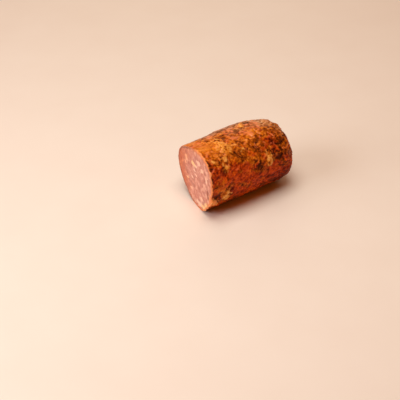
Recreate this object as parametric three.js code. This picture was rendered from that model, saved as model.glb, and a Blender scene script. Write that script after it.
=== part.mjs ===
// A chunk of thick grill sausage with cheese in it, lying on its side. The near end is cut off a little
// aslant, and the far end is the closed, rounded end. Millimetres, +Z up, and the axis runs along +X from
// the cut. Turns go round the axis in degrees, from the top towards -Y.

import * as THREE from 'three';
import { mergeVertices } from 'three/addons/utils/BufferGeometryUtils.js';
import { ImprovedNoise } from 'three/addons/math/ImprovedNoise.js';

const { clamp, degToRad, euclideanModulo, lerp, smoothstep } = THREE.MathUtils;

// Main sizes
const RADIUS = 32.2;
const LENGTH = 98.4; // from the middle of the cut to the tip
const AXIS_HEIGHT = 31.4; // less than the radius, so that it rests on a flat strip
const BELLY_SMOOTH_TURN = degToRad(166); // from here on the skin has no relief, as it lies on the strip
const BELLY_EDGE_TURN = degToRad(148); // and up to here all of it

// The cut: a plane turned about the upright and leaning, with a soft rim and a slightly uneven face
const CUT_TURN = degToRad(11.1);
const CUT_LEAN = degToRad(-2.2);
const RIM_ROUND = 0.6;
const FACE_UNEVENNESS = 0.3;
const FACE_UNEVEN_SIZE = 8;

// Near the cut the section is a little oval and three-sided, which fades along the chunk
const OVAL = 0.066; // as a share of the radius
const OVAL_TURN = degToRad(61);
const THREE_SIDED = 0.07;
const THREE_SIDED_TURN = degToRad(43.4);
const SECTION_FADE = 50;

// The rounded end: it tapers off long on the far upper side and ends bluff on the near lower side
const END_DEPTH = 32.2;
const END_SKEW = 18.9;
const END_SKEW_TURN = degToRad(-47);
const END_POWER = 2.42; // 2 is an ellipse, more is blunter
const TIP_LIFT = 3.8;
const TIP_SIDEWAYS = 2.9;

// Pleats that gather into a small hollow at the tip
const PLEATS = 13;
const PLEAT_DEPTH = 1.1;
const PLEAT_UNEVENNESS = 0.16; // of a turn in radians
const PLEATS_START_LIFT = degToRad(29);
const PLEATS_FULL_LIFT = degToRad(69);
const HOLLOW_DEPTH = 2.6;
const HOLLOW_RADIUS = 6;

// Relief of the grilled skin: broad lumps and the crags of the crust
const LUMP_HEIGHT = 0.8;
const LUMP_SIZE = 15;
const CRAG_HEIGHT = 0.9;
const CRAG_SIZE = 5.2;

// Cheese that has come through the skin stands proud, and scorched spots are sunk. Each patch has its
// place along the axis, its turn, its half length along the axis, its half width round it and its height.
const CHEESE_PATCHES = [
  { along: 20, turn: 21, long: 9, wide: 9, height: 1.0 },
  { along: 13, turn: 49, long: 4, wide: 4.5, height: 0.9 },
  { along: 4, turn: 46, long: 4, wide: 4, height: 0.5 },
  { along: 45, turn: 30, long: 5, wide: 4, height: 0.6 },
  { along: 56, turn: -12, long: 4, wide: 5, height: 0.6 },
  { along: 60.5, turn: 69, long: 4, wide: 6, height: 1.0 },
  { along: 10, turn: 110, long: 5, wide: 8, height: 1.1 },
];
const PATCH_TOP_SHARE = 0.35; // the level part of a patch, the rest slopes off
const SCORCHED_PATCHES = [
  { along: 76, turn: 46, long: 7, wide: 4.5, height: -0.8 },
  { along: 68, turn: 65, long: 6, wide: 4, height: -0.7 },
  { along: 46, turn: 74, long: 5, wide: 5, height: -0.7 },
  { along: 30, turn: 40, long: 6, wide: 4, height: -0.7 },
  { along: 51, turn: 35, long: 4, wide: 3.5, height: -0.5 },
  { along: 30, turn: 2, long: 3.5, wide: 5, height: -0.5 },
];

// The side turned away has patches like these, spread evenly by the golden ratio
const BACK_PATCHES = 10;
const BACK_PITCH = 8.4;
const BACK_FIRST_TURN = 160;
const BACK_TURN_RANGE = 140;
const BACK_HALF_SIZE = 4.5;
const BACK_HEIGHT = 0.8;
const GOLDEN_SHARE = 0.618;

// Facets
const SEGMENTS = 88;
const FACE_RINGS = 6;
const BARREL_RINGS = 26;
const END_RINGS = 15;

const SKIN_COLOUR = 0xa64a18;
const SKIN_ROUGHNESS = 0.5;

const noise = new ImprovedNoise();
const noiseAt = (point, size) => noise.noise(point.x / size, point.y / size, point.z / size);

// Half of the back patches are cheese and every other one is a scorched spot
function backPatch(index) {
  return {
    along: BACK_PITCH * (index + 1),
    turn: BACK_FIRST_TURN + BACK_TURN_RANGE * ((index * GOLDEN_SHARE) % 1),
    long: BACK_HALF_SIZE,
    wide: BACK_HALF_SIZE,
    height: index % 2 ? BACK_HEIGHT : -BACK_HEIGHT,
  };
}

const PATCHES = [
  ...CHEESE_PATCHES,
  ...SCORCHED_PATCHES,
  ...Array.from({ length: BACK_PATCHES }, (_, index) => backPatch(index)),
];

// A closed blank with radius 1: the cut face, a barrel of height 1 and a dome, turned round the Y axis
function turnedBlank() {
  const rimStation = RIM_ROUND / (LENGTH - END_DEPTH);
  const profile = [];
  for (let i = 0; i <= FACE_RINGS; i++) {
    profile.push(new THREE.Vector2((i / FACE_RINGS) * (1 - RIM_ROUND / RADIUS), 0));
  }
  for (let i = 0; i <= BARREL_RINGS; i++) {
    profile.push(new THREE.Vector2(1, lerp(rimStation, 1, i / BARREL_RINGS)));
  }
  for (let i = 1; i < END_RINGS; i++) {
    const lift = (Math.PI / 2) * (i / END_RINGS);
    profile.push(new THREE.Vector2(Math.cos(lift), 1 + Math.sin(lift)));
  }
  profile.push(new THREE.Vector2(0, 2));
  return new THREE.LatheGeometry(profile, SEGMENTS);
}

// Joins the vertices at the seam and at both poles, and drops the triangles that have no area there
function weld(geometry) {
  geometry.deleteAttribute('normal');
  geometry.deleteAttribute('uv');
  const welded = mergeVertices(geometry);
  const corners = welded.index.array;
  const kept = [];
  for (let i = 0; i < corners.length; i += 3) {
    const [a, b, c] = corners.slice(i, i + 3);
    if (a !== b && b !== c && c !== a) kept.push(a, b, c);
  }
  welded.setIndex(kept);
  return welded;
}

// How much a patch raises the skin at one place: full height in its middle, nothing past its edge
function patchHeight(patch, along, turn) {
  const turned = euclideanModulo(turn - degToRad(patch.turn) + Math.PI, 2 * Math.PI) - Math.PI;
  const distance = Math.hypot((along - patch.along) / patch.long, (turned * RADIUS) / patch.wide);
  return patch.height * (1 - smoothstep(distance, PATCH_TOP_SHARE, 1));
}

function relief(point, turn) {
  const patches = PATCHES.reduce((sum, patch) => sum + patchHeight(patch, point.x, turn), 0);
  return LUMP_HEIGHT * noiseAt(point, LUMP_SIZE) + CRAG_HEIGHT * noiseAt(point, CRAG_SIZE) + patches;
}

// Pleats deepen towards the tip and run out in its hollow
function pleatDepth(lift, turn, radius) {
  const uneven = turn + PLEAT_UNEVENNESS * Math.sin(2 * turn + 1) + PLEAT_UNEVENNESS * Math.cos(3 * turn) / 2;
  const wave = 0.5 - 0.5 * Math.cos(PLEATS * uneven);
  const share = smoothstep(lift, PLEATS_START_LIFT, PLEATS_FULL_LIFT) * smoothstep(radius, 0, HOLLOW_RADIUS);
  return PLEAT_DEPTH * wave * share;
}

// A point on the finished surface. reach is 0 on the axis and 1 on the skin, station is 0 at the cut and 1
// where the rounded end starts, and lift goes on from there, from 0 to a quarter turn at the tip.
function surfacePoint(reach, station, lift, turn) {
  const depth = END_DEPTH + END_SKEW * Math.cos(turn - END_SKEW_TURN);
  const along = (LENGTH - depth) * station + depth * Math.sin(lift) ** (2 / END_POWER);
  const oval = OVAL * Math.cos(2 * (turn - OVAL_TURN));
  const threeSided = THREE_SIDED * Math.cos(3 * (turn - THREE_SIDED_TURN));
  const section = RADIUS * (1 + (oval + threeSided) * Math.exp(-along / SECTION_FADE));
  const radius = section * reach * Math.cos(lift) ** (2 / END_POWER);
  const tipShare = Math.sin(lift) ** 2;

  const point = new THREE.Vector3(
    along,
    TIP_SIDEWAYS * tipShare - radius * Math.sin(turn),
    TIP_LIFT * tipShare + radius * Math.cos(turn),
  );
  const onFace = station === 0;
  if (onFace) {
    point.x -= FACE_UNEVENNESS * noiseAt(point, FACE_UNEVEN_SIZE);
  } else {
    const outwards = new THREE.Vector3(
      Math.sin(lift),
      -Math.cos(lift) * Math.sin(turn),
      Math.cos(lift) * Math.cos(turn),
    );
    const clear = smoothstep(Math.cos(turn), Math.cos(BELLY_SMOOTH_TURN), Math.cos(BELLY_EDGE_TURN));
    const clearOfBelly = lerp(clear, 1, tipShare);
    const height = relief(point, turn) * clearOfBelly - pleatDepth(lift, turn, radius);
    point.addScaledVector(outwards, height);
  }
  point.x -= HOLLOW_DEPTH * Math.exp(-((radius / HOLLOW_RADIUS) ** 2)) * tipShare;
  point.z = Math.max(point.z, -AXIS_HEIGHT);
  point.x += (1 - station) * (point.y * Math.tan(CUT_TURN) + point.z * Math.tan(CUT_LEAN));
  return point;
}

// Shapes the blank: each of its vertices says where on the chunk it belongs
function shapedChunk() {
  const geometry = weld(turnedBlank());
  const positions = geometry.getAttribute('position');
  const vertex = new THREE.Vector3();
  for (let i = 0; i < positions.count; i++) {
    vertex.fromBufferAttribute(positions, i);
    const lift = Math.asin(clamp(vertex.y - 1, 0, 1));
    const reach = lift > 0 ? 1 : Math.hypot(vertex.x, vertex.z);
    const point = surfacePoint(reach, Math.min(vertex.y, 1), lift, Math.atan2(vertex.x, vertex.z));
    positions.setXYZ(i, point.x, point.y, point.z);
  }
  geometry.computeBoundingBox();
  const middle = geometry.boundingBox.getCenter(new THREE.Vector3());
  geometry.translate(-middle.x, -middle.y, -geometry.boundingBox.min.z);
  geometry.computeVertexNormals();
  return geometry;
}

const skin = new THREE.MeshStandardMaterial({ color: SKIN_COLOUR, roughness: SKIN_ROUGHNESS, metalness: 0 });
const sausage = new THREE.Mesh(shapedChunk(), skin);
sausage.name = 'sausage';

const part = new THREE.Group();
part.add(sausage);

export default part;
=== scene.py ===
# %% [markdown]
# # A chunk of cheese grill sausage
#
# The real thing is a thick sausage of coarse scalded meat with cheese in it. It was browned on a grill and
# then cut through with a knife. The chunk lies on its side: a pink cut face at one end, a craggy, greasy,
# orange to dark brown skin all round, and a closed end where the skin is gathered in pleats.
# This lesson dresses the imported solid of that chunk. The solid has the true form in facets of 2 to 3 mm.
# Here it gets a closer net, the fine crust, the grain of the meat and the colours.

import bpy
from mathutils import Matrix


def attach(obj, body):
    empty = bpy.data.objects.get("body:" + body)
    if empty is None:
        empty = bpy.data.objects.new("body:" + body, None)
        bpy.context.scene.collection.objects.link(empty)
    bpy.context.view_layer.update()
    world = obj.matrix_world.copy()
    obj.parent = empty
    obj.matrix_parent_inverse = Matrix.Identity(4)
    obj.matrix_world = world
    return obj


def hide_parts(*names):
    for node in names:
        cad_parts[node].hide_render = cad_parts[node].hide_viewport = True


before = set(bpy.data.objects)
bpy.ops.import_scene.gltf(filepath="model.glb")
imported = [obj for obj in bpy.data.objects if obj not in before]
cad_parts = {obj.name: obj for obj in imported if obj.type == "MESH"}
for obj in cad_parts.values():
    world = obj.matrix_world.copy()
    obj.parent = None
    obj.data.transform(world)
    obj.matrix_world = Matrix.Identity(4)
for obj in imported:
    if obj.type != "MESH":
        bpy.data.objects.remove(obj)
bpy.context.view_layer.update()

# %% Everything else that the lesson needs
import math

import bpy
import numpy as np
from mathutils import Vector, noise
from mathutils.bvhtree import BVHTree

MM = 0.001  # lengths below are in millimetres unless they say otherwise
print("one millimetre is", MM, "of Blender's metres")

# %% [markdown]
# ## Where the camera stands
#
# The chunk is seen from the front left, where its cut is, and from well above. A long lens gives the small
# perspective of a product picture. The camera is aimed at a point under the chunk, close to the cut,
# because the chunk doesn't fill the picture and sits a little right of its middle and above it.

# %% Camera
PICTURE_SENSOR = 36
LENS = 108
VIEW_TURN = math.radians(-37.5)
VIEW_TILT = math.radians(35)
VIEW_DISTANCE = 1100.4
AIM = Vector((-37.1, 3.9, 0))

back = Vector((
    math.sin(VIEW_TURN) * math.cos(VIEW_TILT),
    -math.cos(VIEW_TURN) * math.cos(VIEW_TILT),
    math.sin(VIEW_TILT),
))
camera = bpy.data.objects.new("camera", bpy.data.cameras.new("camera"))
camera.data.sensor_width = PICTURE_SENSOR
camera.data.lens = LENS
camera.location = (AIM + back * VIEW_DISTANCE) * MM
camera.rotation_euler = back.to_track_quat("Z", "Y").to_euler()
bpy.context.scene.collection.objects.link(camera)
bpy.context.scene.camera = camera
print("camera at", tuple(round(value, 3) for value in camera.location))


# %% [markdown]
# ## Two helpers
#
# Colours are written as sRGB hex, the way a colour picker on a picture gives them, but shaders reckon in
# linear light, so one function turns them. Node trees are long to write out, so one small function adds a
# node, sets its properties and fills or links its sockets.

# %% Colours and nodes
def linear(hex_colour):
    """The linear colour, with alpha, of an sRGB hex value such as #C85A1E."""
    shares = [int(hex_colour[i:i + 2], 16) / 255 for i in (1, 3, 5)]
    return [s / 12.92 if s <= 0.04045 else ((s + 0.055) / 1.055) ** 2.4 for s in shares] + [1]


def add(tree, kind, sockets=None, stops=(), **settings):
    """Adds a node. sockets maps an input's name or number to a value or to the output that feeds it, and
    stops are the places and hex colours of a colour ramp, the first of them at 0. A mix node takes its
    share at 0, numbers at 2 and 3 and colours at 6 and 7; it gives a number at 0 and a colour at 2."""
    made = tree.nodes.new(kind)
    for name, value in settings.items():
        setattr(made, name, value)
    for name, value in (sockets or {}).items():
        if isinstance(value, bpy.types.NodeSocket):
            tree.links.new(value, made.inputs[name])
        else:
            made.inputs[name].default_value = value
    if stops:
        elements = made.color_ramp.elements
        elements.remove(elements[1])
        elements[0].color = linear(stops[0][1])
        for position, hex_colour in stops[1:]:
            elements.new(position).color = linear(hex_colour)
    return made


def new_material(name):
    """An empty material: itself, its node tree and its output node."""
    material = bpy.data.materials.new(name)
    material.use_nodes = True
    material.node_tree.nodes.clear()
    return material, material.node_tree, add(material.node_tree, "ShaderNodeOutputMaterial")


print("linear value of middle grey:", round(linear("#808080")[0], 3))

# %% [markdown]
# ## Reading the solid
#
# The dressed skin has to lie where the solid's is. A ray tree of the solid answers where a ray from inside
# leaves it. The chunk's axis runs along x, from the cut on. Rays go out from it: as aslant as the cut
# beside it, square to the axis further on, and in a fan from one point over the rounded end. The turn round
# the axis is 0 at the top and grows towards the camera's side. A tube shrunk onto the solid would do nearly
# the same, but rays keep each thread at its own turn, by which everything on the skin is placed.

# %% Rays from the axis
CUT_CENTRE = np.array([-45.7, -1.0, 31.4])  # where the axis meets the cut
FAN_CENTRE = np.array([18.0, -1.0, 31.4])  # where the rays of the rounded end start
THREADS_ROUND = 360
THREAD_PITCH = 0.6

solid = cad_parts["sausage"].data
solid_points = [vertex.co / MM for vertex in solid.vertices]
solid_rays = BVHTree.FromPolygons(solid_points, [tuple(face.vertices) for face in solid.polygons])


def leave_solid(start, direction):
    """The point where a ray from inside the solid comes out."""
    exit_point, *_ = solid_rays.ray_cast(Vector(start), Vector(direction))
    return np.array(exit_point)


turns = np.linspace(0, 2 * np.pi, THREADS_ROUND, endpoint=False)
spokes = np.stack([np.zeros(THREADS_ROUND), -np.sin(turns), np.cos(turns)], axis=1)
top_height = np.linalg.norm(leave_solid(FAN_CENTRE, spokes[0]) - FAN_CENTRE)
print("the solid's skin is", top_height.round(1), "mm above the axis")

# %% [markdown]
# The cut was made with one stroke of a knife, so it is nearly a plane. Rays against it from a ring of
# points inside give that plane, and how far each spoke leans when it lies in it.

# %% The plane of the cut
RING_RADIUS = 18  # the ring also lies this far inside
RING_STEP = 30  # spokes from one ray to the next
ring_centre = CUT_CENTRE + np.array([RING_RADIUS, 0, 0])
ring = [ring_centre + spoke * RING_RADIUS for spoke in spokes[::RING_STEP]]
on_cut = np.array([leave_solid(start, (-1, 0, 0)) for start in ring])
plane_terms = np.column_stack([np.ones(len(on_cut)), on_cut[:, 1:]])
(cut_x, cut_slope_y, cut_slope_z), *_ = np.linalg.lstsq(plane_terms, on_cut[:, 0], rcond=None)
lean = cut_slope_y * spokes[:, 1] + cut_slope_z * spokes[:, 2]


def x_of_cut(places):
    """The place along the chunk where the plane of the cut is."""
    return cut_x + cut_slope_y * places[..., 1] + cut_slope_z * places[..., 2]


print("cut turned", round(math.degrees(math.atan(cut_slope_y)), 1), "degrees, leaning",
      round(math.degrees(math.atan(cut_slope_z)), 1))

# %% [markdown]
# ## The net of threads
#
# One net covers the whole chunk: rows of the cut from its centre out to the rim, rows of the barrel, and
# rows of the rounded end up to the tip. A net could also come from remeshing the solid, but then there
# would be no rows and columns to smooth along. They are needed, as the solid's facets would show as flat
# spots in the gloss, so the skin rows are smoothed a little.

# %% Rows of the barrel and the rounded end
RIM_INSET = 0.9  # the solid's rim is soft, so the skin is read this far behind the cut
END_RADIUS = 32
barrel_rows = round((FAN_CENTRE[0] - CUT_CENTRE[0]) / THREAD_PITCH)
end_rows = round(END_RADIUS * math.pi / 2 / THREAD_PITCH)

first_start = CUT_CENTRE + np.array([RIM_INSET, 0, 0])
barrel = []
for share in np.linspace(0, 1, barrel_rows, endpoint=False):
    start = first_start + share * (FAN_CENTRE - first_start)
    leaning = spokes + np.outer((1 - share) * lean, (1, 0, 0))
    barrel.append([leave_solid(start, ray) for ray in leaning])
bare_rim = np.array(barrel[0])
bare_rim[:, 0] = x_of_cut(bare_rim)

rounded_end = []
for lift in np.linspace(0, math.pi / 2, end_rows, endpoint=False):
    fan = spokes * math.cos(lift) + np.array([math.sin(lift), 0, 0])
    rounded_end.append([leave_solid(FAN_CENTRE, ray) for ray in fan])

tip = leave_solid(FAN_CENTRE, (1, 0, 0))
skin = np.array([bare_rim] + barrel + rounded_end)
print("skin rows:", len(skin), "tip at", tip.round(1))


# %% Smooth the facets out of the skin
def smoothed(rows):
    """Each point moves to the mean of itself and its neighbours round and along; the end rows stay."""
    round_mean = (np.roll(rows, 1, axis=1) + 2 * rows + np.roll(rows, -1, axis=1)) / 4
    longer = np.concatenate([round_mean[:1], round_mean, round_mean[-1:]])
    mean = (longer[:-2] + 2 * round_mean + longer[2:]) / 4
    mean[0] = rows[0]
    mean[-1] = rows[-1]
    return mean


SMOOTHING_PASSES = 10
for _ in range(SMOOTHING_PASSES):
    skin = smoothed(skin)
print("smoothed", SMOOTHING_PASSES, "times")

# %% [markdown]
# ## Where the skin carries what
#
# Grilling leaves its marks in places: cheese has bubbled out and browned in patches, other spots are
# scorched black, and just behind the cut the skin stayed smooth and bright orange. Each mark is a stroke
# with the place along the axis and the turn in degrees of both its ends, and half its width. They were
# placed one by one, and most cheese and scorched spots lie where the solid has them as relief.
# Noise frays their edges, as melted cheese has no outline. Painting a picture for the skin would do the
# same, but strokes stay sharp up close.

# %% Noise over places
NOISE_SEED = 9
FRAY = [(3.2, 2.2, 0), (3.0, 5.5, 40)]  # height of the noise and its size in mm, and its start
noise.seed_set(NOISE_SEED)  # without a seed, noise that gives vectors differs from run to run
skin_places = skin.reshape(-1, 3)
along = skin_places[:, 0] - CUT_CENTRE[0]
turn = np.tile(turns, len(skin))


def field(function, places, size, start=0):
    """A noise function at each place, with its pattern stretched to a size in millimetres and read from
    another start, so that no two patterns of one size are alike."""
    return np.array([function(Vector(place) / size) for place in np.asarray(places) + start])


def ramp(values, low, high):
    """0 at low and before it, 1 at high and past it, and smooth between; low may be the larger one."""
    share = np.clip((values - low) / (high - low), 0, 1)
    return share * share * (3 - 2 * share)


def added_noise(places, kinds):
    """Several kinds of noise added up, each with its height, its size and its start."""
    return sum(height * field(noise.noise, places, size, start) for height, size, start in kinds)


fray = added_noise(skin_places, FRAY)
print("edges fray by", fray.min().round(1), "to", fray.max().round(1), "mm")

# %% From strokes to a mask
MEAN_RADIUS = 32


def stroke_mask(strokes, edge):
    """1 on the frayed strokes and 0 off them, with an edge of that half width."""
    mask = np.zeros(len(skin_places))
    for start_along, start_turn, end_along, end_turn, half_width in strokes:
        round_mm = MEAN_RADIUS * ((turn - math.radians(start_turn) + np.pi) % (2 * np.pi) - np.pi)
        step = np.array([end_along - start_along, MEAN_RADIUS * math.radians(end_turn - start_turn)])
        offset = np.column_stack([along - start_along, round_mm])
        share = np.clip(offset @ step / (step @ step), 0, 1)
        distance = np.linalg.norm(offset - share[:, None] * step, axis=1)
        mask = np.maximum(mask, ramp(distance + fray, half_width + edge, half_width - edge))
    return mask


print("one degree round the chunk is", round(MEAN_RADIUS * math.radians(1), 2), "mm")

# %% [markdown]
# Cheese that came through the skin is the lightest mark, and spots that the fire scorched are the darkest.
# Both have fairly clear edges, so each patch is made of a few narrow strokes.

# %% Strokes of cheese and of scorched skin
CHEESE_STROKES = [
    (-4, 108, 0, 118, 3.0), (1, 40, 4, 44, 1.6), (10, 50, 12, 54, 1.1), (11, 107, 14, 118, 2.6),
    (12, 95, 14, 105, 1.6), (13, 35, 14, 43, 1.8), (20, 16, 17, 29, 3.3), (20, 18, 24, 30, 2.0),
    (22, -3, 22, 9, 2.6), (30, 26, 33, 28, 0.9), (32, 36, 37, 38, 1.0), (57, -15, 55, -8, 1.8),
    (61, 65, 61, 73, 3.2),
]
SCORCHED_STROKES = [
    (-4, 46, -2, 58, 2.4), (-2, 59, 4, 66, 1.8), (0, 59, 8, 60, 1.0), (1, 96, 4, 106, 1.8),
    (2, 51, 9, 55, 0.9), (15, 47, 16, 52, 0.8), (25, 70, 27, 74, 0.8), (26, 40, 29, 47, 2.0),
    (28, 0, 31, 4, 1.6), (30, 36, 34, 38, 1.5), (30, 40, 31, 43, 1.2), (33, -7, 36, -2, 1.1),
    (36, 27, 39, 33, 1.8), (45, -2, 47, 5, 1.2), (45, 64, 48, 68, 1.2), (47, 34, 51, 33, 1.8),
    (47, 42, 48, 50, 1.4), (59, -16, 61, -11, 1.5), (64, 63, 73, 69, 3.0), (65, 19, 67, 21, 1.0),
    (66, 40, 71, 43, 1.3), (67, 45, 77, 49, 2.9),
]
print("strokes:", len(CHEESE_STROKES), "of cheese,", len(SCORCHED_STROKES), "scorched")

# %% [markdown]
# Between those the fire browned the skin unevenly: some stretches lay closer to it, others hardly touched
# the grill and stayed bright orange.

# %% Strokes of browner and brighter skin
BROWN_STROKES = [
    (-4, 66, -2, 76, 2.4), (-2, 94, 4, 106, 2.4), (0, 50, 2, 62, 2.0), (0, 56, 6, 60, 2.0),
    (1, 28, 1, 36, 1.6), (6, 43, 8, 50, 1.8), (8, 22, 12, 30, 2.8), (16, 34, 20, 44, 1.4),
    (18, 46, 24, 50, 2.4), (18, 100, 20, 106, 2.2), (22, -8, 25, -2, 1.4), (24, 58, 30, 64, 2.0),
    (26, -3, 37, 3, 2.2), (26, 38, 32, 45, 3.4), (26, 112, 36, 118, 3.0), (28, 14, 33, 10, 2.6),
    (33, 59, 36, 62, 1.6), (33, 94, 36, 98, 2.2), (34, 29, 35, 32, 1.6), (36, 26, 40, 33, 2.6),
    (37, 46, 40, 50, 2.0), (38, -28, 42, -20, 2.0), (40, 92, 46, 100, 3.8), (41, 42, 43, 44, 1.6),
    (42, 73, 50, 79, 3.0), (42, 84, 47, 94, 3.4), (43, -5, 47, 10, 2.4), (45, 63, 48, 68, 2.0),
    (46, 44, 54, 50, 2.4), (47, 42, 48, 48, 2.0), (48, 35, 54, 34, 2.0), (52, 57, 55, 63, 2.0),
    (53, 88, 60, 92, 2.6), (54, -2, 59, 1, 1.8), (57, 31, 60, 37, 2.4), (57, 49, 61, 55, 2.6),
    (58, 28, 64, 30, 3.0), (60, 120, 84, 120, 7.0), (62, 106, 84, 112, 5.0), (63, 78, 68, 81, 2.6),
    (64, 61, 74, 70, 4.2), (64, 72, 70, 84, 3.0), (65, 6, 68, 9, 1.6), (65, 75, 68, 80, 2.2),
    (67, 42, 78, 50, 3.4), (69, 30, 77, 31, 2.4), (69, 52, 72, 56, 1.8), (77, 16, 80, 22, 2.0),
    (77, 60, 82, 74, 3.0), (81, 46, 84, 50, 1.8),
]
BRIGHT_STROKES = [
    (0, -50, 14, -36, 5.0), (1, 86, 3, 92, 1.8), (3, -36, 10, -16, 5.0), (3, 4, 8, 20, 4.5),
    (6, 70, 15, 78, 3.4), (8, 80, 12, 90, 2.4), (9, 35, 12, 42, 2.0), (10, 100, 14, 116, 2.4),
    (13, -8, 15, 8, 2.4), (17, 40, 20, 43, 1.6), (17, 53, 20, 56, 1.4), (20, 56, 26, 62, 2.0),
    (21, 34, 24, 37, 1.8), (21, 70, 24, 74, 1.8), (24, -14, 31, -10, 2.8), (29, 53, 32, 56, 1.6),
    (29, 106, 35, 109, 2.4), (30, 18, 34, 24, 2.2), (33, 0, 39, 7, 2.0), (33, 8, 38, 20, 2.4),
    (33, 46, 34, 50, 1.2), (36, 70, 40, 80, 2.8), (37, 3, 40, 8, 1.8), (37, 60, 43, 66, 2.6),
    (41, 26, 47, 33, 2.6), (41, 33, 44, 38, 2.8), (41, 57, 44, 61, 1.2), (44, -15, 48, -9, 2.0),
    (49, 22, 52, 26, 2.0), (49, 59, 52, 62, 1.8), (51, 9, 54, 21, 2.6), (52, 100, 60, 104, 3.6),
    (58, 17, 60, 20, 1.8), (62, 86, 70, 93, 2.6), (65, 29, 68, 31, 1.8), (70, 8, 72, 14, 2.0),
    (72, -10, 84, 2, 4.0), (83, 80, 84, 88, 2.2), (84, 42, 87, 62, 2.4),
]
print("strokes:", len(BROWN_STROKES), "browner,", len(BRIGHT_STROKES), "brighter")

# %% [markdown]
# The hue changes too. Round the cheese the browning is golden, and where lean meat lies under the skin it
# is ruddy. Along the top, mostly on the side turned away, the skin is a dull, greyish tan: partly its own
# colour, partly painted sheen, the veil of gloss that grazing light gives there. Small bits of skin have
# lifted, and the pale fat under them shows, and some of these pale spots are painted glints. The skin is
# smooth behind the top of the cut, and calmer along the upper side turned away. At the foot of the rim a
# lump of cheese has run out, with a dent above it.

# %% Strokes of hue and of changed skin
GOLDEN_STROKES = [
    (-4, 108, 2, 122, 5.0), (5, -52, 12, -36, 5.0), (9, 94, 13, 114, 5.0), (14, -40, 22, -10, 4.0),
    (15, 28, 24, 34, 5.0), (22, 0, 18, 24, 5.0), (29, 52, 36, 56, 2.5), (37, 59, 48, 62, 2.4),
    (45, 30, 57, 24, 3.0), (49, 80, 54, 88, 3.0), (57, -18, 56, -4, 4.0), (60.5, 63, 60, 74, 4.0),
    (74, 54, 78, 60, 3.0), (81, -22, 84, 32, 6.0), (82, 40, 85, 70, 3.0),
]
RUDDY_STROKES = [
    (-4, 44, 0, 60, 4.0), (5, 62, 9, 68, 2.0), (6, 43, 8, 50, 2.0), (14, 72, 30, 84, 4.0),
    (20, 58, 36, 64, 3.0), (20, 104, 38, 118, 6.0), (39, 92, 46, 106, 3.4), (46, 92, 56, 96, 3.0),
    (60, 100, 82, 112, 7.0), (66, 40, 71, 50, 2.6),
]
# partly painted sheen: a greyish tan along the top, where grazing light gives a veil of gloss
TAN_SHEEN_STROKES = [
    (16, -53, 30, -49, 6), (28, -40, 40, -34, 7), (34, -47, 80, -39, 10), (38, -6, 66, 2, 1),
    (52, -32, 80, -18, 9), (72, -10, 76, 4, 7), (82, -8, 88, 34, 3),
]
# lifted bits of skin with pale fat under them; some of these are painted glints
PEELED_AND_GLINT_STROKES = [
    (24, -32, 25, -24, 1.0), (31, 26, 33, 30, 0.8), (36, 14, 41, 18, 1.0), (40, -16, 43, -8, 0.9),
    (50, 9, 54, 20, 1.8), (60, -8, 64, -4, 1.2), (60, 4, 64, 12, 1.2), (67, -10, 70, -2, 1.2),
]
SMOOTH_STROKES = [(0, -50, 7, 14, 9)]
CALM_STROKES = [(5, -55, 55, -48, 17)]
LUMP_STROKES = [(-6, 104, 1, 114, 3.0)]
DENT_STROKES = [(-5, 96, -4, 100, 1.6)]
print("strokes:", len(GOLDEN_STROKES), "golden,", len(RUDDY_STROKES), "ruddy,", len(TAN_SHEEN_STROKES), "tan_sheen")

# %% [markdown]
# The side turned away has the solid's own patches, spread evenly: every other one is cheese, and the ones
# between are scorched. A crumb of the same kind lies beside each, so that they don't look stamped.

# %% Patches of the side turned away
BACK_PATCHES = 10
BACK_PITCH = 8.4
BACK_FIRST_TURN = 160
BACK_TURN_RANGE = 140
GOLDEN_RATIO = 0.618  # its multiples, less their whole part, are spread evenly from 0 to 1
BACK_HALF_LENGTH = 2.5
BACK_HALF_TURN = 4
BACK_HALF_WIDTH = 2.4
CRUMB_ALONG = (6, 7)  # where a crumb starts and ends, from the start of its patch
CRUMB_TURN = (8, 15)
CRUMB_HALF_WIDTH = 0.9
back_strokes = []
crumbs = []
for number in range(BACK_PATCHES):
    patch_along = BACK_PITCH * (number + 1)
    patch_turn = BACK_FIRST_TURN + BACK_TURN_RANGE * (number * GOLDEN_RATIO % 1)
    low_along = patch_along - BACK_HALF_LENGTH
    low_turn = patch_turn - BACK_HALF_TURN
    high_along = patch_along + BACK_HALF_LENGTH
    high_turn = patch_turn + BACK_HALF_TURN
    back_strokes.append((low_along, low_turn, high_along, high_turn, BACK_HALF_WIDTH))
    crumb_start = (low_along + CRUMB_ALONG[0], low_turn + CRUMB_TURN[0])
    crumb_end = (low_along + CRUMB_ALONG[1], low_turn + CRUMB_TURN[1])
    crumbs.append((*crumb_start, *crumb_end, CRUMB_HALF_WIDTH))
back_cheese = back_strokes[1::2] + crumbs[1::2]
back_scorched = back_strokes[::2] + crumbs[::2]
print("strokes of cheese at the back:", len(back_cheese), "and scorched:", len(back_scorched))

# %% [markdown]
# Each list now becomes a mask, which is a number for every point of the skin. Vertex paint would hold the
# same, but these can be added to each other and to noise, and they shape the crust as well as colour it.

# %% Masks of the skin
MARKS = {  # the strokes of each mark, and the half width of its edge in mm
    "cheese": (CHEESE_STROKES + back_cheese, 1.6),
    "scorched": (SCORCHED_STROKES + back_scorched, 1.6),
    "brown": (BROWN_STROKES + back_scorched, 2.8),
    "bright": (BRIGHT_STROKES, 3),
    "golden": (GOLDEN_STROKES + back_cheese, 3),
    "ruddy": (RUDDY_STROKES, 3),
    "tan_sheen": (TAN_SHEEN_STROKES, 8),
    "peeled_and_glint": (PEELED_AND_GLINT_STROKES, 1.4),
    "smooth": (SMOOTH_STROKES, 7),
    "calm": (CALM_STROKES, 9),
    "lump": (LUMP_STROKES, 1.2),
    "dent": (DENT_STROKES, 1.2),
}
mark = {name: stroke_mask(strokes, edge) for name, (strokes, edge) in MARKS.items()}
for name in ("cheese", "scorched", "tan_sheen"):
    print(name, "on", round(100 * mark[name].mean(), 1), "% of the skin")
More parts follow.
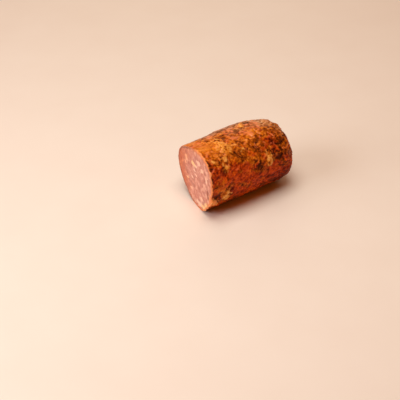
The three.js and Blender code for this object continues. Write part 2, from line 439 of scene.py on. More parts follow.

# %% [markdown]
# Two lines run along the rim. The rim itself is clear orange fat on the near side. A dark line follows just
# behind it, and it too shows mostly on the near side.

# %% Lines along the rim
RIM_FRAY = 0.3  # how much of the fray bends these lines
FAT_LINE = (1.4, 0.5)  # how far behind the cut a line ends and where it is full
DARK_LINE = (3.5, 1.0)
FAT_RIM = (4, -6)  # y from which a line comes in and where it is full
NEAR_RIM = (-8, -18)
FAR_RIM = (8, 20)
NEAR_DARKNESS = 0.7
FAR_DARKNESS = 0.2
skin_y = skin_places[:, 1]
behind_cut = skin_places[:, 0] - x_of_cut(skin_places) + RIM_FRAY * fray
fat_line = ramp(behind_cut, *FAT_LINE) * ramp(skin_y, *FAT_RIM)
darkness = np.maximum(FAR_DARKNESS * ramp(skin_y, *FAR_RIM), NEAR_DARKNESS * ramp(skin_y, *NEAR_RIM))
dark_line = ramp(behind_cut, *DARK_LINE) * darkness
print("the line of fat lies on", round(100 * (fat_line > 0.5).mean(), 1), "% of the skin")

# %% [markdown]
# How brown the skin is adds up, and painted shade is added in the same sum. The smooth, the calm and
# the tan sheen stretches are a little browner than what lies round them, and the far end is browner below
# its top. The lower side is darker, and the belly, where it meets the table, darkest by far: both are
# painted shade.

# %% How brown the skin is, with painted shade
HUE_STEP = 0.2  # how far golden and ruddy strokes move the hue
FAR_END = (60, 85)  # from where along the chunk its far end is browner, and where it is so in full
OFF_THE_TOP = (-0.9, -0.5)  # the same for how far down the skin is, here and below
LOWER_SIDE_SHADE = (0.2, 0.7)
BELLY_SHADE = (0.7, 1.0)
downwards = (CUT_CENTRE[2] - skin_places[:, 2]) / MEAN_RADIUS  # from -1 at the top to 1 at the belly
BROWNING_AND_SHADE = [  # what counts, and for how much
    (mark["scorched"], 0.17),
    (mark["brown"], 0.17),
    (mark["bright"], -0.18),
    (mark["smooth"], 0.02),
    (mark["calm"], 0.06),
    (mark["tan_sheen"], 0.05),
    (dark_line, 0.25),
    (ramp(along, *FAR_END) * ramp(downwards, *OFF_THE_TOP), 0.09),
    # painted shade: the lower side is darker
    (ramp(downwards, *LOWER_SIDE_SHADE), 0.09),
    # painted shade: the belly is darkest where it meets the table
    (ramp(downwards, *BELLY_SHADE), 0.4),
]
browned_and_shaded = sum(weight * share for share, weight in BROWNING_AND_SHADE)
hue = HUE_STEP * (mark["golden"] - mark["ruddy"])
print("browned from", browned_and_shaded.min().round(2), "to", browned_and_shaded.max().round(2))

# %% [markdown]
# ## The crust in relief
#
# Coarse ground meat swells against the skin in lumps of 2 to 7 mm with creases between, and the grill lifts
# thin flakes off it. Noise folded at zero gives round lumps that meet in sharp creases, and a bent place
# keeps them from looking alike. Noise cut off at a level gives flakes with an edge.
# A bump map alone would leave the outline smooth, so all of this moves the net itself.

# %% Lumps and flakes of the skin
BENDS = [(2.6, 6), (1.0, 2.2)]  # how far the place is moved and the size of that noise
SWELLINGS = [(7.0, 0.5), (3.6, 0.46), (1.9, 0.14)]  # size and height
SWELLING_MIDDLE = 0.25  # folded noise runs from 0 to about 0.5, so twice it gives the full height
FLAKE = 3.6
FLAKE_START = 90
FLAKE_LEVELS = (0.12, 0.3)
FLAKE_HEIGHT = 0.3

bent_places = skin_places.copy()
for distance, size in BENDS:
    bent_places += distance * field(noise.noise_vector, skin_places, size)
height = np.zeros(len(skin_places))
for size, full_height in SWELLINGS:
    swelling = np.abs(field(noise.noise, bent_places, size, start=size))
    height += 2 * full_height * (swelling - SWELLING_MIDDLE)
flakes = ramp(field(noise.noise, bent_places, FLAKE, FLAKE_START), *FLAKE_LEVELS)
height += FLAKE_HEIGHT * (flakes - 0.5)
print("lumps and flakes from", height.min().round(2), "to", height.max().round(2), "mm")

# %% [markdown]
# The crust is stronger in some patches than in others, and weak where the skin is smooth or calm and under
# the cheese. Molten cheese lies on top of it and is blistered, most of all the lump at the foot of the rim.

# %% Patches, cheese, and the foot of the rim
PATCH = 12
PATCH_START = 60
PATCH_LEVELS = (-0.5, 0.5)
WEAKEST = 0.55  # share of the crust's height in the weakest patches
WEAK_TO_STRONG = 0.75
SOFTENING = 0.6  # share of it that is gone in smooth and calm skin and under cheese
BLISTER = 3.0
BLISTER_START = 50
BLISTER_GAIN = 2.2
BLISTER_HEIGHT = 0.4
MOLTEN_HEIGHT = 0.45
DENT_DEPTH = 1.2
LUMP_HEIGHTS = (0.91, 0.78)  # without a blister, and what a full one adds

patchy = ramp(field(noise.noise, skin_places, PATCH, PATCH_START), *PATCH_LEVELS)
height *= WEAKEST + WEAK_TO_STRONG * patchy
height *= 1 - SOFTENING * np.maximum(mark["smooth"], mark["calm"])
height *= 1 - SOFTENING * mark["cheese"]
folded = np.abs(field(noise.noise, bent_places, BLISTER, BLISTER_START))
blisters = np.clip(BLISTER_GAIN * folded, 0, 1)
height += mark["cheese"] * (MOLTEN_HEIGHT + BLISTER_HEIGHT * blisters)
height += mark["lump"] * (LUMP_HEIGHTS[0] + LUMP_HEIGHTS[1] * blisters) - DENT_DEPTH * mark["dent"]
print("relief from", height.min().round(2), "to", height.max().round(2), "mm")

# %% [markdown]
# Towards the closed end the skin is gathered, and fine wrinkles run to the tip between the solid's pleats.
# They are waves round the axis whose crests wander a little, and they come and go.

# %% Wrinkles of the rounded end
WRINKLES_ROUND = 52
WRINKLE_DEPTH = 0.45
WANDER = 3.8  # of the crests, in radians of their wave
WANDER_SIZE = 11
WANDER_START = 10
COMING_SIZE = 9
COMING_START = 70
COMING_LEVELS = (-0.2, 0.3)
GATHERED_ALONG = (58, 78)  # where the wrinkles start and where they are full
GATHERED_RADIUS = (3, 14)  # from how far off the axis, as they run out at the tip

wander = WANDER * field(noise.noise, skin_places, WANDER_SIZE, WANDER_START)
coming = ramp(field(noise.noise, skin_places, COMING_SIZE, COMING_START), *COMING_LEVELS)
where_gathered = ramp(along, *GATHERED_ALONG) * coming
radius_here = np.linalg.norm(skin_places[:, 1:] - CUT_CENTRE[1:], axis=1)
gather = np.cos(WRINKLES_ROUND * turn + wander) * where_gathered * ramp(radius_here, *GATHERED_RADIUS)
height += WRINKLE_DEPTH / 2 * gather
print("wrinkles on", round(100 * (where_gathered > 0.5).mean(), 1), "% of the skin")

# %% [markdown]
# The relief moves each point square to the skin. Where the chunk rests, its weight has squeezed the crust
# flat, so the relief fades out there and nothing goes below the table. A Displace modifier would move the
# skin as well, but the colours need the same heights, so they are reckoned here once for both.

# %% Move the skin by its relief
SQUEEZED = 0.9  # up to this height over the table the relief grows from nothing to full
across = np.roll(skin, -1, axis=1) - np.roll(skin, 1, axis=1)
forwards = np.gradient(skin, axis=0)
normals = np.cross(across, forwards)
normals /= np.linalg.norm(normals, axis=2, keepdims=True)
normals *= np.sign((normals * (skin - CUT_CENTRE)).sum(axis=2).mean())
relief = (height * ramp(skin_places[:, 2], 0, SQUEEZED)).reshape(skin.shape[:2])
skin = skin + normals * relief[..., None]
skin[..., 2] = np.maximum(skin[..., 2], 0)
skin[0, :, 0] = x_of_cut(skin[0])
print("lowest skin point at", skin[..., 2].min().round(2), "mm")

# %% [markdown]
# How deep each point lies below its surroundings is kept. It darkens the creases: painted shade.

# %% Hollows, kept for painted shade in the creases
HOLLOW_PASSES = 14
FULL_HOLLOW = 0.4  # a point this much lower than its surroundings counts in full
surroundings = relief[..., None].repeat(3, axis=2)
for _ in range(HOLLOW_PASSES):
    surroundings = smoothed(surroundings)
hollow = np.clip((surroundings[..., 0] - relief) / FULL_HOLLOW, 0, 1).ravel()
print("hollows cover", round(100 * (hollow > 0.5).mean(), 1), "%")

# %% [markdown]
# ## The cut
#
# A knife leaves the meat nearly flat. Ground pieces stand a tenth of a millimetre or two proud where they
# are firm, and there are small pits where air or fat was. The rows of the cut run from its centre to the
# rim that the skin's relief has just given. How far each point lies under the skin is kept for the colours.

# %% Rows of the cut
FACE_FRAY = [(0.6, 2.2, 0), (0.3, 4.5, 40)]  # as a share of a piece's half size, then as before
face_rows = round(MEAN_RADIUS / THREAD_PITCH)
centre = np.array([x_of_cut(CUT_CENTRE), CUT_CENTRE[1], CUT_CENTRE[2]])
rim = skin[0]
shares = np.linspace(0, 1, face_rows, endpoint=False)
face = np.array([centre + share * (rim - centre) for share in shares])
face_places = face.reshape(-1, 3)
under_skin = (np.linalg.norm(rim - centre, axis=1)[None, :] * (1 - shares[:, None])).ravel()
face_fray = added_noise(face_places, FACE_FRAY)


def piece_mask(pieces, edge=0.35):
    """1 on the frayed pieces that show on the cut; each has its y and height, and half its size both ways."""
    mask = np.zeros(len(face_places))
    for y, z, half_wide, half_high in pieces:
        distance = np.hypot((face_places[:, 1] - y) / half_wide, (face_places[:, 2] - z) / half_high)
        mask = np.maximum(mask, ramp(distance + face_fray, 1 + edge, 1 - edge))
    return mask


print("rows of the cut:", len(face), "the rim is up to", under_skin.max().round(1), "mm from its middle")

# %% [markdown]
# Three kinds of piece show on the cut: pale fat, cheese and dark lean meat. Beside the lump of cheese at
# the foot of the rim, the skin's orange reaches into the cut, and a narrow crack parts it from the meat.
# The crack is sunk, and its dark brown is painted shade.

# %% Pieces on the cut
PALE_PIECES = [
    (-8, 50, 3.6, 2.4), (17, 42, 2.0, 3.4), (-2, 34, 2.6, 1.2), (6, 28, 2.6, 1.3), (-22, 40, 1.8, 2.6),
    (19, 37, 1.6, 2.0), (-14, 46, 2.4, 1.8), (-6, 6, 5.0, 2.2), (1, 38, 2.2, 1.0), (-2, 44, 3.0, 1.4),
    (8, 14, 3.0, 1.6), (-12, 14, 2.8, 1.6),
]
CHEESE_PIECES = [
    (3, 44, 3.6, 2.2), (16, 22, 2.0, 0.8), (-21, 11, 3.4, 3.6), (-16, 7, 4.4, 2.4),
]
LEAN_PIECES = [
    (-19, 38, 1.8, 3.0), (12, 39, 2.8, 1.6), (2, 29, 2.4, 1.6), (18, 29, 2.4, 3.4), (17, 12, 4.0, 2.2),
    (16, 48, 2.8, 1.6), (4, 21, 3.6, 0.9), (-7, 23, 2.4, 0.9), (-24, 26, 0.9, 3.4),
]
ORANGE_PIECES = [(-29, 23, 2.6, 6.5)]
CRACKS = [(-24.5, 25.5, 1.1, 4.8)]
CRACK_EDGE = 0.4
pale = piece_mask(PALE_PIECES)
face_cheese = piece_mask(CHEESE_PIECES)
lean_meat = piece_mask(LEAN_PIECES)
crack_and_shade = piece_mask(CRACKS, CRACK_EDGE)
print("cheese on", round(100 * face_cheese.mean(), 1), "% of the cut")

# %% [markdown]
# Smoke has dyed the meat under the skin orange. It went in deepest on the side turned away, and hardly at
# the top and at the foot. The outermost line of the cut is browned with the skin.

# %% Smoke and edge of the cut
SMOKE_FULL = 1  # how far in the smoke is full and where it ends, on the near side
SMOKE_END = 5
FAR_SMOKE_FULL = 1  # what the side turned away adds to both
FAR_SMOKE_END = 21
SMOKE_FRAY = 2
TURNED_AWAY = (-12, 22)  # y from which that side counts, and where it does in full
FOOT = (4, 18)  # heights between which the smoke comes in
TOP = (40, 56)  # and between which it fades again
TOP_LOSS = 0.75
EDGE_FULL = 1.0
EDGE_END = 3.0
EDGE_FRAY = 0.8
ORANGE_SHARE = 0.8
far_side = ramp(face_places[:, 1], *TURNED_AWAY)
above_foot = ramp(face_places[:, 2], *FOOT)
below_top = 1 - TOP_LOSS * ramp(face_places[:, 2], *TOP)
smoke_end = SMOKE_END + FAR_SMOKE_END * far_side
smoke_full = SMOKE_FULL + FAR_SMOKE_FULL * far_side
smoke = ramp(under_skin + SMOKE_FRAY * face_fray, smoke_end, smoke_full) * above_foot * below_top
browned_edge = ramp(under_skin + EDGE_FRAY * face_fray, EDGE_END, EDGE_FULL)
browned_edge = np.maximum(browned_edge, ORANGE_SHARE * piece_mask(ORANGE_PIECES))
print("smoke on", round(100 * smoke.mean(), 1), "% of the cut")

# %% Relief of the cut
PIECE = 3.6
PIECE_HEIGHT = 0.4
PIT = 2.4
PIT_START = 30
PIT_LEVELS = (0.3, 0.5)
PIT_DEPTH = 0.35
CHEESE_HEIGHT = 0.3  # cheese stands proud, as it is firmer than the meat
CRACK_DEPTH = 0.6
FACE_BEND = 1.1  # how far the place is moved, so that the pieces don't look alike
FACE_BEND_SIZE = 3
FACE_BEND_START = 5
LEVEL_AT_RIM = 1  # the relief fades out over this distance to the rim
face_bend = field(noise.noise_vector, face_places, FACE_BEND_SIZE, FACE_BEND_START)
face_bent = face_places + FACE_BEND * face_bend
grain = np.abs(field(noise.noise, face_bent, PIECE))
pits = ramp(field(noise.noise, face_bent, PIT, PIT_START), *PIT_LEVELS)
face_height = PIECE_HEIGHT * grain - PIT_DEPTH * pits + CHEESE_HEIGHT * face_cheese - CRACK_DEPTH * crack_and_shade
face_height *= ramp(under_skin, 0, LEVEL_AT_RIM)
face[..., 0] -= face_height.reshape(face.shape[:2])
print("relief of the cut from", face_height.min().round(2), "to", face_height.max().round(2), "mm")

# %% [markdown]
# ## One closed mesh
#
# The cut and the skin are one piece of food, so they are one mesh with two materials. They meet in one
# row of points, the rim, as crisp as the knife left it. As two meshes they could gape there.

# %% Faces of the net
rows = np.concatenate([face[1:], skin])
points = np.concatenate([[face[0].mean(axis=0)], rows.reshape(-1, 3), [tip]])


def net_faces(row_count):
    """A fan round the first point, the quads between rows, and a fan round the last point."""
    columns = range(THREADS_ROUND)
    beside = [(column + 1) % THREADS_ROUND for column in columns]
    faces = [(0, 1 + beside[column], 1 + column) for column in columns]
    for row in range(row_count - 1):
        low = 1 + row * THREADS_ROUND
        high = low + THREADS_ROUND
        faces += [(low + c, low + beside[c], high + beside[c], high + c) for c in columns]
    last_row = 1 + (row_count - 1) * THREADS_ROUND
    faces += [(last_row + c, last_row + beside[c], last_row + THREADS_ROUND) for c in columns]
    return faces


faces = net_faces(len(rows))
faces_of_cut = THREADS_ROUND * len(face)
print("points:", len(points), "faces:", len(faces), "of them on the cut:", faces_of_cut)


# %% Make the piece
def new_piece(name, points, faces, *materials):
    """A smooth mesh object from points in millimetres."""
    mesh = bpy.data.meshes.new(name)
    mesh.from_pydata((np.asarray(points) * MM).tolist(), [], faces)
    mesh.polygons.foreach_set("use_smooth", [True] * len(mesh.polygons))
    for material in materials:
        mesh.materials.append(material)
    piece = bpy.data.objects.new(name, mesh)
    bpy.context.scene.collection.objects.link(piece)
    return piece


sausage = new_piece("grilled_sausage", points, faces)
is_skin = (np.arange(len(faces)) >= faces_of_cut).astype(np.int32)
sausage.data.polygons.foreach_set("material_index", is_skin)
print("made", sausage.name, "with", len(sausage.data.polygons), "faces")


# %% [markdown]
# A material can read by its name any value that is stored at the points. So the masks go with the mesh, and
# each colour sits exactly where the relief is that belongs to it.

# %% Keep what the materials need at each point
def keep(piece, name, of_cut, of_skin):
    """Stores a value for each point. The first row of the cut is one point, and so is the tip."""
    values = np.concatenate([of_cut[THREADS_ROUND - 1:], of_skin, of_skin[-1:]])
    attribute = piece.data.attributes.new(name, "FLOAT", "POINT")
    attribute.data.foreach_set("value", values.astype(np.float32))


LUMP_FAT = 0.9  # share of the lump that has the clear orange of the rim, on its blisters
LUMP_FAT_BLISTERS = (0.1, 0.5)
lump_fat = LUMP_FAT * mark["lump"] * ramp(blisters, *LUMP_FAT_BLISTERS)
SKIN_VALUES = {
    "browned_and_shaded": browned_and_shaded,
    "hue": hue,
    "tan_sheen": mark["tan_sheen"],
    "fat_rim": np.maximum(fat_line, lump_fat),
    "hollow": hollow,
    "flakes": flakes,
    "blisters": blisters,
    "gather": gather,
    "smooth_skin": mark["smooth"],
    "peeled_and_glint": mark["peeled_and_glint"],
}
CUT_VALUES = {
    "pale": pale,
    "lean_meat": lean_meat,
    "smoke": smoke,
    "edge": browned_edge,
    "crack_and_shade": crack_and_shade,
    "far_side": far_side,
}
for name, values in SKIN_VALUES.items():
    keep(sausage, name, np.zeros(len(face_places)), values)
for name, values in CUT_VALUES.items():
    keep(sausage, name, values, np.zeros(len(skin_places)))
keep(sausage, "cheese", face_cheese, mark["cheese"])
print("values kept at each point:", len(SKIN_VALUES) + len(CUT_VALUES) + 1)

# %% [markdown]
# ## Grilled sausage skin
#
# The real finish is a smoked skin that browned on a hot grill and is wet with its own fat. Browning runs
# from orange to nearly black and is strongest where the fire reached, and melted cheese shines through in
# gold. Painted shade goes into the same colours: the creases, the lower side and the belly are darker, and
# the sides a little darker than the top. The fat film gives broken, fairly sharp highlights. One could
# paint all this into a picture, but then it would blur up close. Here the places come from the values kept
# at the points, and noise at true sizes adds what is finer than the net.

# %% Grilled skin: patterns
skin_material, tree, output = new_material("smoked skin browned on the grill")
# A real one looks crusty and wet at once: dull where it burnt, with small sharp glints where fat lies.
PATTERNS = {  # size in mm, roughness and distortion
    "clouds": (13, 0.6, 0.6),  # how evenly the fire reached the skin
    "mottle": (7, 0.6, 0.9),  # lean and fat under it
    "speckle": (2.4, 0.55, 0.4),  # ground pieces
    "golden_patches": (7, 0.6, 0.6),
    "bristle": (1.0, 0.5, 0.0),  # real pores are nearer to 0.2 mm, too fine to show, so it is coarser
}
place = add(tree, "ShaderNodeTexCoord").outputs["Object"]
pattern = {}
for name, (size, roughness, distortion) in PATTERNS.items():
    pattern[name] = add(tree, "ShaderNodeTexNoise", {
        "Vector": place,
        "Scale": 1 / (size * MM),
        "Detail": 3,
        "Roughness": roughness,
        "Distortion": distortion,
    }).outputs["Fac"]
kept = {}
for name in [*SKIN_VALUES, "cheese"]:
    kept[name] = add(tree, "ShaderNodeAttribute", attribute_name=name).outputs["Fac"]
facing = add(tree, "ShaderNodeTexCoord").outputs["Normal"]
upwards = add(tree, "ShaderNodeSeparateXYZ", {0: facing}).outputs["Z"]
print("patterns:", sorted(pattern), "kept values:", sorted(kept))

# %% [markdown]
# Where the skin stayed smooth, little burnt on, so its mottle and speckle are pulled towards their mean.
# Then everything that browns is added up with the painted shade of creases, grooves and sides, and
# brought to a share between 0, orange, and 1, charred.

# %% Grilled skin: how brown each place is
CALMING = {"mottle": 0.35, "speckle": 0.8}  # how far each is pulled
NOISE_MEAN = 0.5
for name, weight in CALMING.items():
    calmed = add(tree, "ShaderNodeMath", {0: kept["smooth_skin"], 1: weight}, operation="MULTIPLY").outputs[0]
    pattern[name] = add(tree, "ShaderNodeMix", {0: calmed, 2: pattern[name], 3: NOISE_MEAN}).outputs[0]
BROWN_AND_SHADE_SHARES = [  # what browns, with painted shade, and for how much
    (pattern["clouds"], 0.55),
    (pattern["mottle"], 1.28),
    (pattern["speckle"], 1.2),
    # painted shade: the creases are darker
    (kept["hollow"], 0.2),
    (kept["flakes"], -0.06),
    (kept["browned_and_shaded"], 1.0),
    # painted shade and light: the grooves of the wrinkles are darker, their crests lighter
    (kept["gather"], -0.06),
]
browning_and_shade = add(tree, "ShaderNodeMapRange", {  # painted shade: what faces sideways is a little darker
    "Value": upwards, "From Min": 0.95, "From Max": 0.2, "To Min": 0.09, "To Max": 0.12,
}).outputs["Result"]
for value, weight in BROWN_AND_SHADE_SHARES:
    sockets = {0: value, 1: weight, 2: browning_and_shade}
    browning_and_shade = add(tree, "ShaderNodeMath", sockets, operation="MULTIPLY_ADD").outputs[0]
brown_and_shade_share = add(tree, "ShaderNodeMapRange", {  # a sum of 0.86 is still orange, and 2.24 is charred
    "Value": browning_and_shade, "From Min": 0.86, "From Max": 2.24,
}).outputs["Result"]
print("browning is made of", len(BROWN_AND_SHADE_SHARES) + 1, "shares")

# %% [markdown]
# The same share of browning and shade runs through one of three rows of colours: rust on most of the skin,
# a yellower one in golden patches and towards the top, where it is painted light, and a greyish tan that
# is partly painted sheen.

# %% Grilled skin: from orange to char
RUST = [
    (0.0, "#FC8C22"), (0.25, "#EE6A1A"), (0.45, "#D25010"),
    (0.62, "#A83808"), (0.8, "#681F08"), (1.0, "#3A1006"),
]
GOLDEN = [
    (0.0, "#FAB448"), (0.25, "#EE962C"), (0.45, "#D87816"),
    (0.62, "#A64E0A"), (0.8, "#622A06"), (1.0, "#3A1606"),
]
# a greyish tan, partly the skin's own colour and partly painted sheen
TAN_SHEEN = [
    (0.0, "#E2BA8E"), (0.3, "#CEA272"), (0.5, "#B88858"),
    (0.68, "#926038"), (0.85, "#5E3016"), (1.0, "#3A1606"),
]
TAN_SHEEN_SHARE = 0.65
rust, gold_brown, tan_sheen_colour = [
    add(tree, "ShaderNodeValToRGB", {"Fac": brown_and_shade_share}, colours).outputs["Color"]
    for colours in (RUST, GOLDEN, TAN_SHEEN)
]
golden_and_top_light_sum = add(tree, "ShaderNodeMapRange", {  # painted light: what faces upwards is a little yellower
    "Value": upwards, "From Min": 0.0, "From Max": 0.9, "To Min": 0.0, "To Max": 0.14,
}).outputs["Result"]
for value in (pattern["golden_patches"], kept["hue"]):
    golden_and_top_light_sum = add(tree, "ShaderNodeMath", {0: value, 1: golden_and_top_light_sum}, operation="ADD").outputs[0]
golden_and_top_light_share = add(tree, "ShaderNodeMapRange", {
    "Value": golden_and_top_light_sum, "From Min": 0.44, "From Max": 0.64,
}).outputs["Result"]
tan_sheen_share = add(tree, "ShaderNodeMath", {0: kept["tan_sheen"], 1: TAN_SHEEN_SHARE}, operation="MULTIPLY").outputs[0]
print("browning goes through", len(RUST), "colours from orange to char")

# %% [markdown]
# Flakes on the upper side are salmon, the more so the more they face up: partly fat that shows through
# them, partly painted highlight. So are the peeled spots, some of which are painted glints. Cheese has its
# own row of colours, from pale gold to brown where its blisters burnt, with gaps where the skin shows.

# %% Grilled skin: flakes of fat and molten cheese
SALMON_FAT_AND_HIGHLIGHT = linear("#EE8656")
MOLTEN = [(0.0, "#FCC06A"), (0.35, "#F4A848"), (0.6, "#DE8426"), (0.85, "#A45014"), (1.0, "#702C0A")]
PEELED_AND_GLINT_SHARE = 0.6
upper_side = add(tree, "ShaderNodeMapRange", {
    "Value": upwards, "From Min": 0.2, "From Max": 0.8, "To Max": 0.5,
}).outputs["Result"]
broken = add(tree, "ShaderNodeMapRange", {
    "Value": pattern["mottle"], "From Min": 0.55, "From Max": 0.42,
}).outputs["Result"]
# partly painted highlight: flakes turn salmon the more they face up
fat_and_highlight = kept["flakes"]
for factor in (upper_side, broken):
    fat_and_highlight = add(tree, "ShaderNodeMath", {0: fat_and_highlight, 1: factor}, operation="MULTIPLY").outputs[0]
sockets = {0: kept["peeled_and_glint"], 1: PEELED_AND_GLINT_SHARE, 2: fat_and_highlight}
pale_and_highlight_share = add(tree, "ShaderNodeMath", sockets, operation="MULTIPLY_ADD", use_clamp=True).outputs[0]

crust = pattern["speckle"]
for value, weight in ((kept["blisters"], 0.4), (upper_side, 0.18)):
    crust = add(tree, "ShaderNodeMath", {0: value, 1: weight, 2: crust}, operation="MULTIPLY_ADD").outputs[0]
crust = add(tree, "ShaderNodeMapRange", {
    "Value": crust, "From Min": 0.45, "From Max": 1.15,
}).outputs["Result"]
gold = add(tree, "ShaderNodeValToRGB", {"Fac": crust}, MOLTEN).outputs["Color"]
gaps = add(tree, "ShaderNodeMapRange", {
    "Value": pattern["mottle"], "From Min": 0.8, "From Max": 0.58, "To Max": 0.94,
}).outputs["Result"]
molten = add(tree, "ShaderNodeMath", {0: kept["cheese"], 1: gaps}, operation="MULTIPLY").outputs[0]
print("cheese goes through", len(MOLTEN), "colours")

# %% [markdown]
# Now the colours go over the rust as coats of paint would, each by its own share. The clear fat of the rim
# comes last, as it lies over everything.

# %% Grilled skin: one colour over the other
RIM_PEACH = linear("#FFA258")
LAYERS = [
    (golden_and_top_light_share, gold_brown),
    (tan_sheen_share, tan_sheen_colour),
    (pale_and_highlight_share, SALMON_FAT_AND_HIGHLIGHT),
    (molten, gold),
    (kept["fat_rim"], RIM_PEACH),
]
colour = rust
for share, paint in LAYERS:
    colour = add(tree, "ShaderNodeMix", {0: share, 6: colour, 7: paint}, data_type="RGBA").outputs[2]
print("layers over the rust:", len(LAYERS))

# %% [markdown]
# Fat lies on the skin as a thin, clear film. In the shader this is a coat with its own roughness. It stays
# where the skin is level and runs off its sides, and it has burnt away where the skin is dark. There is
# more of it on the tan sheen patches, less on the smooth skin behind the cut, and plenty along the rim. Char
# and crust under it hardly shine, so the skin's own gloss is very low.

# %% Grilled skin: the film of fat
RIM_FILM = 0.5
FILM_FACTORS = [  # what changes the film, from where to where, and the factor at both
    (brown_and_shade_share, 0.7, 0.35, 0.0, 1.0),
    (upwards, 0.2, 0.9, 0.08, 0.6),
    (kept["tan_sheen"], 0.0, 1.0, 0.5, 1.5),
    (kept["smooth_skin"], 0.0, 1.0, 1.0, 0.35),
]
film = 1.0
for value, start, end, at_start, at_end in FILM_FACTORS:
    sockets = {"Value": value, "From Min": start, "From Max": end, "To Min": at_start, "To Max": at_end}
    factor = add(tree, "ShaderNodeMapRange", sockets).outputs["Result"]
    film = add(tree, "ShaderNodeMath", {0: film, 1: factor}, operation="MULTIPLY").outputs[0]
film = add(tree, "ShaderNodeMath", {0: kept["fat_rim"], 1: RIM_FILM, 2: film}, operation="MULTIPLY_ADD")
print("the film has", len(FILM_FACTORS), "factors")

# %% Grilled skin: gloss and the finest roughness
FINEST_DEPTH = 0.15
bump = add(tree, "ShaderNodeBump", {
    "Strength": 0.4, "Distance": FINEST_DEPTH * MM, "Height": pattern["bristle"],
})
gloss = add(tree, "ShaderNodeMapRange", {
    "Value": pattern["mottle"], "From Min": 0.3, "From Max": 0.7, "To Min": 0.3, "To Max": 0.55,
})
surface = add(tree, "ShaderNodeBsdfPrincipled", {
    "Base Color": colour,
    "Roughness": gloss.outputs["Result"],
    "Normal": bump.outputs["Normal"],
    "IOR": 1.45,
    "Specular IOR Level": 0.05,
    "Coat Weight": film.outputs[0],
    "Coat Roughness": 0.14,
    "Coat IOR": 1.47,
    "Subsurface Weight": 0.05,
    "Subsurface Radius": (1.0, 0.35, 0.15),
    "Subsurface Scale": 1.5 * MM,
})
tree.links.new(surface.outputs["BSDF"], output.inputs["Surface"])
print("nodes in the skin's material:", len(tree.nodes))

# %% [markdown]
# ## Cut meat
#
# The cut shows coarse ground meat, cured and so still pink after scalding, bound with paler fat and cheese.
# The knife left it moist. Light goes a few millimetres into it, which softens every edge. Cells of noise
# stand for the ground pieces, each with its own pink. A picture of real meat would do too, but its pieces
# couldn't be put where this cut has them.

# %% Cut meat: the pieces of the grind
meat_material, tree, output = new_material("scalded coarse meat cut with a knife")
# A real one looks soft and juicy: pale pieces glow a little into the pink round them.
PIECE_SIZE = 3.8
CRUMB_SIZE = 1.5
CRUMB_SHARE = 0.3  # how much of the pink comes from the crumbs between the pieces
BEND_SIZE = 3
BEND = 2.2  # how far the place is moved, as ground pieces aren't round
GRIND = [(0.0, "#BE7362"), (0.45, "#D38975"), (1.0, "#F0BEA4")]  # lean meat, the mean and fat

place = add(tree, "ShaderNodeTexCoord").outputs["Object"]
bend = add(tree, "ShaderNodeTexNoise", {"Vector": place, "Scale": 1 / (BEND_SIZE * MM), "Detail": 2.0})
bend = add(tree, "ShaderNodeVectorMath", {0: bend.outputs["Color"], 3: BEND * MM}, operation="SCALE")
bent_place = add(tree, "ShaderNodeVectorMath", {0: place, 1: bend.outputs[0]}, operation="ADD").outputs[0]
cells = []
for size in (PIECE_SIZE, CRUMB_SIZE):
    cells.append(add(tree, "ShaderNodeTexVoronoi", {
        "Vector": bent_place, "Scale": 1 / (size * MM), "Smoothness": 0.5,
    }, feature="SMOOTH_F1"))
pinks = [add(tree, "ShaderNodeSeparateColor", {0: cell.outputs["Color"]}).outputs["Red"] for cell in cells]
mixed = add(tree, "ShaderNodeMix", {0: CRUMB_SHARE, 2: pinks[0], 3: pinks[1]}).outputs[0]
colour = add(tree, "ShaderNodeValToRGB", {"Fac": mixed}, GRIND).outputs["Color"]
print("the grind goes through", len(GRIND), "colours")

# %% [markdown]
# The placed pieces go over the grind. Fat, cheese and the browned edge nearly cover it, and lean meat
# darkens it. The crack is darkened too, with painted shade. Smoke is multiplied with it, because it dyes
# the meat like a glaze and leaves the grain to be seen.

# %% Cut meat: fat, cheese, smoke and edge
NEAR_SMOKE = linear("#FFE8BC")
FAR_SMOKE = linear("#F6B662")
NEAR_EDGE = linear("#EC8630")
FAR_EDGE = linear("#8E4522")
far = add(tree, "ShaderNodeAttribute", attribute_name="far_side").outputs["Fac"]
smoke_colour = add(tree, "ShaderNodeMix", {0: far, 6: NEAR_SMOKE, 7: FAR_SMOKE}, data_type="RGBA").outputs[2]
edge_colour = add(tree, "ShaderNodeMix", {0: far, 6: NEAR_EDGE, 7: FAR_EDGE}, data_type="RGBA").outputs[2]
MIXES = [  # the kept value, how it is mixed, its weight and its colour
    ("pale", "MIX", 0.85, linear("#FFD6BC")),
    ("lean_meat", "MIX", 0.55, linear("#B4604E")),
    ("smoke", "MULTIPLY", 0.85, smoke_colour),
    ("cheese", "MIX", 0.9, linear("#FFD498")),
    ("edge", "MIX", 0.9, edge_colour),
    # painted shade: the crack is dark brown
    ("crack_and_shade", "MIX", 0.75, linear("#7C3A24")),
]
for name, blend, weight, paint in MIXES:
    mask = add(tree, "ShaderNodeAttribute", attribute_name=name).outputs["Fac"]
    share = add(tree, "ShaderNodeMath", {0: mask, 1: weight}, operation="MULTIPLY").outputs[0]
    sockets = {0: share, 6: colour, 7: paint}
    colour = add(tree, "ShaderNodeMix", sockets, data_type="RGBA", blend_type=blend).outputs[2]
print("mixed in:", [name for name, *_ in MIXES])

# %% [markdown]
# Juice on the cut gives it a soft, broad gloss, so its roughness is middling, and its index of refraction
# lies between those of water and fat. The crumbs roughen it a little.

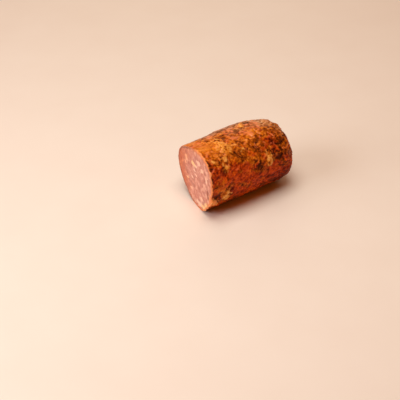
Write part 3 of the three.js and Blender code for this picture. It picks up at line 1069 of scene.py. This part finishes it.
# %% Cut meat: moisture
CRUMB_DEPTH = 0.2
bump = add(tree, "ShaderNodeBump", {
    "Strength": 0.35, "Distance": CRUMB_DEPTH * MM, "Height": cells[1].outputs["Distance"],
})
surface = add(tree, "ShaderNodeBsdfPrincipled", {
    "Base Color": colour,
    "Roughness": 0.42,
    "Normal": bump.outputs["Normal"],
    "IOR": 1.4,
    "Subsurface Weight": 0.35,
    "Subsurface Radius": (1.0, 0.4, 0.25),
    "Subsurface Scale": 2.5 * MM,
})
tree.links.new(surface.outputs["BSDF"], output.inputs["Surface"])

sausage.data.materials.append(meat_material)
sausage.data.materials.append(skin_material)
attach(sausage, "root")
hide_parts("sausage")
print("materials of the chunk:", [material.name for material in sausage.data.materials])

# %% [markdown]
# ## Table and light
#
# The chunk is photographed as goods are: on something pale, in soft light. A big lamp hangs over it and a
# weaker one stands at the left, a little behind, so that it doesn't shine under the near side. A third,
# large and weak, stands for a pale wall behind: the fat film on top mirrors it, which gives the greyish
# veil of gloss along the upper edge. What else the room gives is warm and dim, and so the shadow beside
# the belly is deep and brown. A picture of a studio could light it too, but lamps are easier to move.

# %% Table
table_material, tree, output = new_material("pale matt lacquer")
# Sprayed matt lacquer takes soft shadows and mirrors nothing, and its tint is just not quite even.
CLOUD_SIZE = 50
TABLE_TINTS = (linear("#EFE6DC"), linear("#F3ECE3"))
place = add(tree, "ShaderNodeTexCoord").outputs["Object"]
clouds = add(tree, "ShaderNodeTexNoise", {"Vector": place, "Scale": 1 / (CLOUD_SIZE * MM), "Detail": 2.0})
sockets = {0: clouds.outputs["Fac"], 6: TABLE_TINTS[0], 7: TABLE_TINTS[1]}
tint = add(tree, "ShaderNodeMix", sockets, data_type="RGBA").outputs[2]
surface = add(tree, "ShaderNodeBsdfPrincipled", {"Base Color": tint, "Roughness": 0.7})
tree.links.new(surface.outputs["BSDF"], output.inputs["Surface"])

TABLE_HALF = 6000  # so that its edges are far out of the picture
corners = [(x * TABLE_HALF, y * TABLE_HALF, 0) for x, y in ((-1, -1), (1, -1), (1, 1), (-1, 1))]
table = new_piece("table", corners, [(0, 1, 2, 3)], table_material)
print("table is", 2 * TABLE_HALF * MM, "m wide")


# %% Lamps
def new_lamp(name, direction, size, power, hex_colour, distance=1000):
    """A square area lamp that shines at the chunk from a direction, with its size and its power in watts."""
    lamp = bpy.data.lights.new(name, "AREA")
    lamp.energy = power
    lamp.size = size * MM
    lamp.color = linear(hex_colour)[:3]
    holder = bpy.data.objects.new(name, lamp)
    holder.location = Vector(direction).normalized() * distance * MM
    holder.rotation_euler = Vector(direction).to_track_quat("Z", "Y").to_euler()
    bpy.context.scene.collection.objects.link(holder)


new_lamp("lamp overhead", (-0.15, -0.05, 1.0), 600, 6.3, "#FFFDF0")
new_lamp("lamp at the left", (-0.88, 0.16, 0.5), 550, 4.65, "#FFFFFF")
new_lamp("pale wall behind", (0.5, 0.72, 0.45), 800, 1.7, "#FFFCE0")
print("lamps:", [lamp.name for lamp in bpy.data.lights])

# %% Room
ROOM_STRENGTH = 0.25
room = bpy.data.worlds.new("dim warm room")
room.use_nodes = True
background = room.node_tree.nodes["Background"]
background.inputs["Color"].default_value = linear("#FF8228")
background.inputs["Strength"].default_value = ROOM_STRENGTH
bpy.context.scene.world = room
bpy.context.scene.view_settings.view_transform = "Standard"
print("room strength:", ROOM_STRENGTH)
